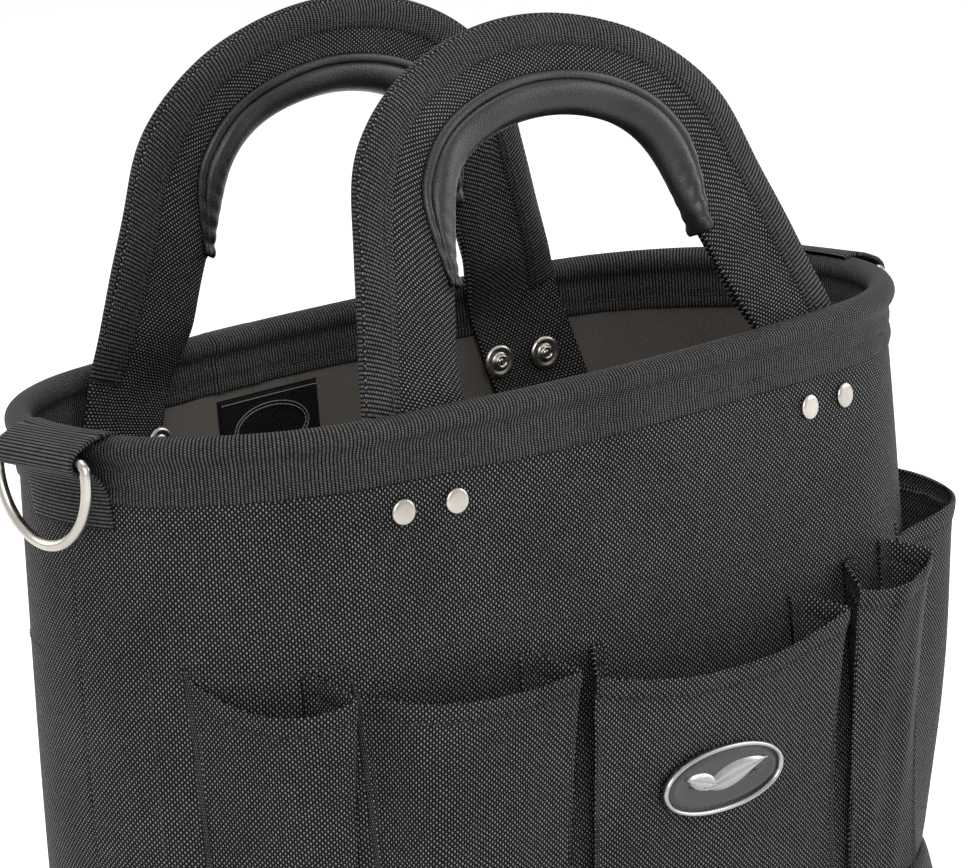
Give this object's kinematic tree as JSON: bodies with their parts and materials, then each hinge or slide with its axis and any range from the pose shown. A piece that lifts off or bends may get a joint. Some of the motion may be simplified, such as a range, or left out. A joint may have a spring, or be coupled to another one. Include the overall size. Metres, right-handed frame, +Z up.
{
  "type": "garden tool bag",
  "caption": "Open-topped oval fabric bag for garden tools, with a hooped rim, padded arch handles, pleated outer pockets and a carry ring at each end.",
  "frame": {"origin": "centre of the base's underside, on the surface the bag stands on", "axes": "+Z up, +X along the bag's length towards the end with the deep pocket, -Y towards the front, where the badge is"},
  "size_m": [0.43, 0.241, 0.4646],
  "materials": {
    "outer_fabric": "heavy basket-weave polyester, charcoal black",
    "webbing": "ribbed black webbing",
    "lining": "grey-brown fine twill",
    "patch_fabric": "black plain weave",
    "grip_leather": "smooth black imitation leather",
    "core_foam": "closed-cell foam",
    "board": "plain plastic board",
    "hoop_plastic": "plain plastic rod",
    "nickel": "satin nickel",
    "badge_rim_metal": "satin silver",
    "badge_face": "dark grey face with a raised leaf"
  },
  "bodies": {
    "bag": {"base_cover": "outer_fabric", "base_panel": "board", "base_boot": "outer_fabric", "boot_piping": "webbing", "body_shell": "outer_fabric", "wall_stiffener": "board", "lining": "lining", "rim_hoop": "hoop_plastic", "rim_binding": "webbing", "rim_bands": "webbing", "front_leg_tabs": "outer_fabric", "rear_leg_tabs": "outer_fabric", "rivet_caps": "nickel", "rivet_washers": "nickel", "left_strap_loop": "webbing", "right_strap_loop": "webbing", "front_pocket_left": "outer_fabric", "front_pocket_mid": "outer_fabric", "front_pocket_centre": "outer_fabric", "front_pocket_right": "outer_fabric", "end_pocket": "outer_fabric", "rear_pocket_left": "outer_fabric", "rear_pocket_centre": "outer_fabric", "rear_pocket_right": "outer_fabric", "inner_pocket_rear": "lining", "inner_pocket_front": "lining", "inner_patch": "patch_fabric", "badge_plate": "badge_face", "badge_rim": "badge_rim_metal"},
    "front_handle": {"front_handle_core": "core_foam", "front_handle_cover": "outer_fabric", "front_handle_binding": "webbing", "front_handle_grip": "grip_leather"},
    "rear_handle": {"rear_handle_core": "core_foam", "rear_handle_cover": "outer_fabric", "rear_handle_binding": "webbing", "rear_handle_grip": "grip_leather"},
    "left_ring": {"left_d_ring": "nickel"},
    "right_ring": {"right_d_ring": "nickel"}
  },
  "joints": [
    {"name": "front_handle_lean", "type": "hinge", "parent": "bag", "child": "front_handle", "pos_m": [0, -0.081, 0.334], "axis": [1, 0, 0], "range_deg": [-12, 60]},
    {"name": "rear_handle_lean", "type": "hinge", "parent": "bag", "child": "rear_handle", "pos_m": [0, 0.081, 0.334], "axis": [-1, 0, 0], "range_deg": [-22, 60]},
    {"name": "left_ring_swing", "type": "hinge", "parent": "bag", "child": "left_ring", "pos_m": [-0.207, 0, 0.322], "axis": [0, 1, 0], "range_deg": [-10, 160]},
    {"name": "right_ring_swing", "type": "hinge", "parent": "bag", "child": "right_ring", "pos_m": [0.207, 0, 0.322], "axis": [0, -1, 0], "range_deg": [-10, 160]}
  ]
}
